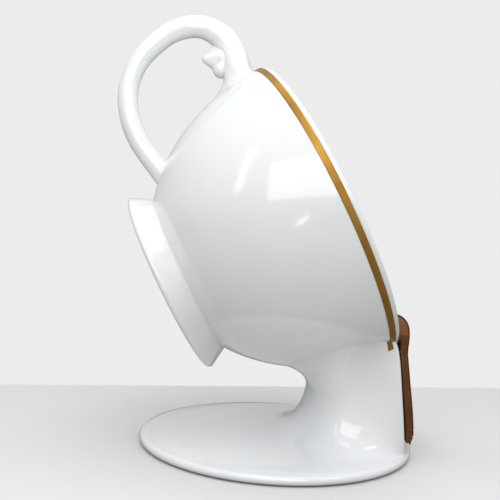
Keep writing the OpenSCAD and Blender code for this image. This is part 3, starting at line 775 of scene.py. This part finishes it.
def make_cushion():
    rows = [cushion_outline(CUSHION_Z + 0.5, 60), cushion_outline(CUSHION_Z + 0.5, 20)]
    rows += [cushion_outline(CUSHION_Z + 10 - 9.5 * math.sin(a), COVER_GAP + 10 * (1 - math.cos(a)))
             for a in np.radians([90, 60, 30, 0])]
    rows += [cushion_outline(z, COVER_GAP) for z in (345, 361, 376)]
    rows += [cushion_outline(SEAT_Z - 15 + 13 * math.sin(a), COVER_GAP + 13 * (1 - math.cos(a)))
             for a in np.radians([0, 25, 50, 75, 90])]
    rows += [cushion_outline(SEAT_Z - 2, COVER_GAP + k) for k in (40, 90, 150)]
    grid = np.array(rows)
    m, n = grid.shape[:2]
    faces = grid_faces(m, n) + [tuple(range(n - 1, -1, -1)), tuple(range((m - 1) * n, m * n))]
    ob = mesh_piece("seat_cushion_pad", grid.reshape(-1, 3), faces, 180)
    settle(ob, REMESH=dict(mode="VOXEL", voxel_size=0.006, use_smooth_shade=True))
    co = points_of(ob)
    # Only the top panel swells, between the seams that hold it at its edge and across it.
    sewn = sum(np.exp(-((co[:, 0] - x) / 7.0) ** 2) for x in SEAMS)
    held = np.clip(1.0 - 1.6 * crown(co[:, 0], co[:, 1]) + sewn, 0, 1)
    inflate(ob, 15, np.where(co[:, 2] > PANEL_Z, held, 1.0))
    co = points_of(ob)
    top = np.clip((co[:, 2] - 375) / 20, 0, 1)
    lift = crown(co[:, 0], co[:, 1])
    # The top panel swells to its crown and dips along two sewn seams.
    target = SEAT_Z - 3 + 12 * lift
    co[:, 2] = np.where(top > 0.6, np.minimum(co[:, 2], target), co[:, 2])
    co[:, 2] = np.where(top > 0.9, 0.35 * co[:, 2] + 0.65 * target, co[:, 2])
    for x in SEAMS:
        co[:, 2] -= top * np.minimum(5.5, 9 * lift) * np.exp(-((co[:, 0] - x) / 6.5) ** 2)
    # Nothing presses into the bucket, the board under it or the roll in front.
    c = to_cup(co)
    grow = np.sqrt(((c[:, :2] / (LINER_R - 4)) ** 2).sum(1) + (c[:, 2] / (LINER_D - 4)) ** 2)
    c /= np.maximum(1, grow)[:, None]
    c[:, 2] = np.minimum(c[:, 2], 2.0)
    co = from_cup(c)
    co[:, 2] = np.maximum(co[:, 2], CUSHION_Z + 0.3)
    set_points(ob, co)
    settle(ob, SUBSURF=dict(levels=1, render_levels=1))
    dress(ob, BROWN, "seat_cushion", ["seat_cover"])
    return ob


def make_cushion_trim(cushion):
    """Welt around the top panel, and the rows of stitches beside its seams."""
    tree = tree_of(cushion)
    path = []
    for p in cushion_outline(SEAT_Z - 4, 11, 300):
        near, n, _, _ = tree.find_nearest(Vector(p + [0, 0, 3]) * MM)
        path.append(np.array(near) / MM + np.array(n) * 1.6)
    path = np.array(path)
    path = sum(np.roll(path, k, 0) for k in range(-3, 4)) / 7
    welt = dress(tube("seat_welt", path, 3.8, 14, True), WELT, "seat_cushion", ["seat_piping"])
    rows = []
    for x in SEAMS:
        for off in (-8.0, 8.0):
            y0, ry, rx = slice_at(SEAT_Z, 24)
            reach = ry * math.sqrt(1 - ((x + off) / rx) ** 2)
            spots = [touch(tree, (x + off, y, 460), (0, 0, -1))
                     for y in np.linspace(max(y0 - reach, -mouth_fwd(SEAT_Z) + 20), y0 + reach, 70)]
            rows.append([s for s in spots if s])
    dress(stitches("seat_stitches", rows), THREAD, "seat_cushion")
    return welt


# ---- Front roll and hanging fall --------------------------------------------------------------------
SECTION_POINTS, SECTION_STEP = 180, 4.3


def fall_section(x):
    """Closed outline, as (forward, height), of the roll and the fall below it at a distance from the
    middle plane: up the back from the hem, over the lip, across the top and down the front."""
    lip, top = float(lip_fwd(x)), float(lip_z(x))

    def back(z):
        return max(float(pour_front(x, z)[0]), lip if z > HINGE_Z - 22 else 0) + 6.0

    g = lip + 4 + FALL_T
    low = float(pour_front(x, HEM_Z + 14)[0]) + FALL_T + 2
    pts = [(back(HEM_Z + 12), HEM_Z + 4), *((back(z), z) for z in (90, 140, 190, 240)),
           (lip + 5, HINGE_Z - 10), (lip + 4.5, HINGE_Z + 6), (lip + 4, top + 3), (lip - 3, top + 15),
           (mouth_fwd(top + 32) + 4.5, top + 32), (mouth_fwd(SEAT_Z - 20) + 4.5, SEAT_Z - 20),
           (mouth_fwd(SEAT_Z) + 7, SEAT_Z), (mouth_fwd(SEAT_Z) + 22, SEAT_Z + 8), (g - 27, SEAT_Z + 8),
           (g - 12, SEAT_Z - 3), (g - 3, SEAT_Z - 19), (g + 0.5, SEAT_Z - 40), (g, SEAT_Z - 62),
           (g - 1.5, HINGE_Z + 8), (g - 1.5, HINGE_Z - 12), (g + 3, 262), (g + 9, 215),
           (0.5 * (g + 12 + low), 150),
           (low - 1, 100), (low, HEM_Z + 18), (low - 3.5, HEM_Z + 5), (low - 11, HEM_Z - 1),
           (back(HEM_Z + 12) + 4, HEM_Z - 1)]
    p = np.array(pts)
    wrap = np.concatenate([p[-2:], p, p[:3]])
    fine = catmull(wrap, 12)[24:24 + 12 * len(p)]
    run = np.concatenate([[0], np.cumsum(np.linalg.norm(np.diff(fine, axis=0, append=fine[:1]), axis=1))])
    fine = np.concatenate([fine, fine[:1]])
    at = np.linspace(0, run[-1], SECTION_POINTS + 1)[:-1]
    return np.stack([np.interp(at, run, fine[:, k]) for k in range(2)], -1)


def end_faces(ring, start):
    """Triangles that close a bent section's end."""
    outline = [Vector((y, z, 0)) for _, y, z in ring]
    return [tuple(start + i for i in t) for t in tessellate_polygon([outline])]


def make_fall():
    """Leather over padding: the roll that carries the seat's front over the lip, and the fall below it.
    It is one skin, which bends where the fall hangs from the roll."""
    edge, lip, tuck_z = FALL_W, 9.0, HINGE_Z - 4
    curl = np.radians([0, 22, 45, 68])
    left = [(-edge - 1.5, lip + 3.2), (-edge - 0.8, lip + 1.6)]
    left += [(-edge + lip * (1 - math.cos(a)), lip * (1 - math.sin(a))) for a in curl]
    stations = left + [(x, 0.0) for x in np.linspace(-edge + lip, edge - lip, 59)]
    stations += [(-x, e) for x, e in left[::-1]]
    rows, pins = [], []
    for x, inset in stations:
        p = fall_section(min(abs(x), edge - 2))
        d = np.roll(p, -1, 0) - np.roll(p, 1, 0)
        n = np.stack([d[:, 1], -d[:, 0]], -1) / np.linalg.norm(d, axis=1, keepdims=True)
        front = np.arange(len(p)) > p[:, 1].argmax()
        # Gathers along the sewn end, and a tuck where the roll meets the fall
        run = np.arange(len(p)) * SECTION_STEP
        pleat = 0.5 + 0.5 * np.cos(2 * math.pi * run / 15 + 1.2 * np.sin(run / 23))
        tuck = np.exp(-((p[:, 1] - tuck_z) / 4.5) ** 2)
        inward = inset + 1.5 * math.exp(-(edge - abs(x)) / 16) * pleat + 2.6 * front * tuck
        q = p + n * inward[:, None]
        rows.append(np.stack([np.full(len(q), float(x)), -q[:, 0], q[:, 1]], -1))
        held = ~front & (p[:, 1] < SEAT_Z - 30)
        pins.append(np.clip(front * tuck + held + (inset > lip - 1), 0, 1))
    grid = np.array(rows)
    m, k = grid.shape[:2]
    faces = grid_faces(m, k) + end_faces(grid[0], 0) + end_faces(grid[-1], (m - 1) * k)
    ob = mesh_piece("front_fall_pad", grid.reshape(-1, 3), faces, 180)
    inflate(ob, 4.5, np.array(pins).ravel(), 3.0)
    ob.data.materials.append(BROWN)
    ob.data.materials.append(LIT_END_LEATHER)
    # Faces at the roll's ends above a height take the lighter copy of the leather: painted light where the ends face
    # up; lower down they stay brown.
    for f in ob.data.polygons:
        c = f.center / MM
        f.material_index = int(abs(c.x) > edge - 6 and c.z > 352)
    trim = fall_trim(tree_of(ob), tuck_z)
    joined(ob, *trim)
    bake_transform(ob)
    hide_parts("front_roll", "fall_pad")
    return ob


def fall_trim(tree, tuck_z):
    """Welts down both sides and rows of stitches, to be joined to the fall's own skin."""
    parts = []
    for side in (-1, 1):
        p = fall_section(FALL_W - 2)
        p = p[p[:, 1].argmax() - 6:-9]
        path = np.stack([np.full(len(p), side * (FALL_W - 2.5)), -p[:, 0] + 3.2, p[:, 1] - 1.0], -1)
        welt = tube("side_welt", path, 2.2, 10)
        welt.data.materials.append(WELT)
        parts.append(welt)
    down = [[touch(tree, (x, -600, z), (0, 1, 0)) for z in np.linspace(SEAT_Z - 25, HEM_Z + 16, 130)]
            for x in (-FALL_W + 19, FALL_W - 19)]
    over = [[touch(tree, (x, -600, z), (0, 1, 0)) for x in np.linspace(-FALL_W + 22, FALL_W - 22, 90)]
            for z in (tuck_z - 11, tuck_z + 11)]
    rows = stitches("fall_stitches", [[s for s in path if s] for path in down + over])
    rows.data.materials.append(THREAD)
    return parts + [rows]


def make_fall_back():
    """Suede lining behind the fall and the welt along its hem."""
    w, low, high = FALL_W - 8, HEM_Z + 4, HINGE_Z - 10
    x, z = np.linspace(-w, w, 41), np.linspace(low, high, 34)
    f = pour_front(x, z)
    sheet = np.stack([np.repeat(x[:, None], len(z), 1), -f - 4.0, np.repeat(z[None], len(x), 0)], -1)
    sheet[..., 1] -= 0.5 * np.sin(x / 19)[:, None] * np.sin((z - low) / 31)[None]
    shell = np.concatenate([sheet, (sheet - [0, 1.2, 0])[::-1]], 0)
    m, k = shell.shape[:2]
    faces = grid_faces(m, k, False, True)
    top = [i * k + k - 1 for i in range(m)]
    bottom = [i * k for i in range(m)]
    half = m // 2
    for row in (top, bottom):
        faces += [(row[i], row[i + 1], row[m - 2 - i], row[m - 1 - i]) for i in range(half - 1)]
    lining = dress(mesh_piece("fall_lining", shell.reshape(-1, 3), faces), SUEDE,
                   "front_fall", ["fall_backing"])
    hem = [(x, -float(pour_front(x, HEM_Z + 14)[0]) - FALL_T + 7, HEM_Z - 2)
           for x in np.linspace(-FALL_W + 10, FALL_W - 10, 60)]
    return dress(tube("hem_welt", hem, 3.0), WELT, "front_fall", ["fall_piping"])


# ---- Stage ------------------------------------------------------------------------------------------
def make_stage():
    """Pale floor whose far edge is the foot of the wall, a little slanted to the view."""
    near, a, b = -6.0, Vector((0.607, 1.051, 0)), Vector((1.035, -1.149, 0))
    left, right = a + (a - b) * 2, b + (b - a) * 2
    me = bpy.data.meshes.new("floor")
    me.from_pydata([(near, left.y, 0), left, right, (near, right.y, 0)], [], [(0, 1, 2, 3)])
    ob = bpy.data.objects.new("floor", me)
    bpy.context.scene.collection.objects.link(ob)
    seen = material("floor_pale", (0.71, 0.71, 0.715), (0.74, 0.74, 0.745), ("noise", 1.5), (0.6, 0.5),
                    [(("noise", 80.0), 0.0001)])
    t = seen.node_tree
    dim = node(t, "BsdfDiffuse", Color=(0.33, 0.315, 0.29, 1))
    choose = node(t, "MixShader")
    t.links.new(node(t, "LightPath").outputs["Is Camera Ray"], choose.inputs["Fac"])
    t.links.new(dim.outputs[0], choose.inputs[1])
    t.links.new(t.nodes["Principled BSDF"].outputs[0], choose.inputs[2])
    t.links.new(choose.outputs[0], t.nodes["Material Output"].inputs["Surface"])
    me.materials.append(seen)


def aim(name, lamp, at, to):
    ob = bpy.data.objects.new(name, lamp)
    ob.matrix_world = (Matrix.Translation(at)
                       @ (Vector(to) - Vector(at)).to_track_quat("-Z", "Y").to_matrix().to_4x4())
    bpy.context.scene.collection.objects.link(ob)


def area_light(name, at, to, size, power):
    lamp = bpy.data.lights.new(name, "AREA")
    lamp.shape, lamp.energy = "RECTANGLE", power
    lamp.size, lamp.size_y = size
    aim(name, lamp, at, to)


def make_light():
    """A pale studio: bright overhead, dimmer towards the floor, with an even wall behind."""
    w = bpy.data.worlds.new("studio")
    bpy.context.scene.world = w
    w.use_nodes = True
    t = w.node_tree
    back = t.nodes["Background"]
    split = node(t, "SeparateXYZ")
    t.links.new(node(t, "TexCoord").outputs["Generated"], split.inputs[0])
    ramp = node(t, "ValToRGB")
    stops = [(0.0, (0.11, 0.105, 0.1)), (0.48, (0.3, 0.295, 0.285)), (0.56, (0.52, 0.52, 0.53)),
             (1.0, (0.85, 0.85, 0.85))]
    ramp.color_ramp.elements.remove(ramp.color_ramp.elements[0])
    for at, c in stops:
        e = ramp.color_ramp.elements.new(at)
        e.color = (*c, 1)
    rise = node(t, "MapRange", From_Min=-1.0, From_Max=1.0)
    t.links.new(split.outputs["Z"], rise.inputs["Value"])
    t.links.new(rise.outputs["Result"], ramp.inputs["Fac"])
    wall = node(t, "Background", Color=(0.84, 0.84, 0.845, 1))
    choose = node(t, "MixShader")
    t.links.new(node(t, "LightPath").outputs["Is Camera Ray"], choose.inputs["Fac"])
    t.links.new(ramp.outputs["Color"], back.inputs["Color"])
    t.links.new(back.outputs[0], choose.inputs[1])
    t.links.new(wall.outputs[0], choose.inputs[2])
    t.links.new(choose.outputs[0], t.nodes["World Output"].inputs["Surface"])
    area_light("overhead", (-0.7, 0.0, 3.0), (0, 0, 0.5), (1.6, 2.6), 20)
    area_light("softbox", (-2.7, 0.3, 1.55), (0, 0.1, 0.8), (3.0, 1.3), 30)
    area_light("left_strip", (-1.7, 2.2, 1.9), (0, 0, 0.6), (0.25, 1.4), 3)
    area_light("front_strip", (-1.5, -1.9, 2.1), (0, -0.2, 0.5), (0.25, 1.2), 4)
    lamp = bpy.data.lights.new("handle_fill", "SPOT")
    lamp.energy, lamp.spot_size, lamp.spot_blend, lamp.shadow_soft_size = 46, math.radians(24), 1.0, 0.35
    aim("handle_fill", lamp, (-2.5, 0.7, 0.5), (0, 0.3, 1.22))
    bpy.context.scene.view_settings.view_transform = "Standard"


make_camera()
make_stage()
make_light()
make_cup()
make_bead()
make_bucket()
make_foot()
make_band()
make_handle()
make_thumb_rest()
make_pedestal()
make_tail()
make_cushion_trim(make_cushion())
make_fall()
make_fall_back()
dress_kept_nodes()
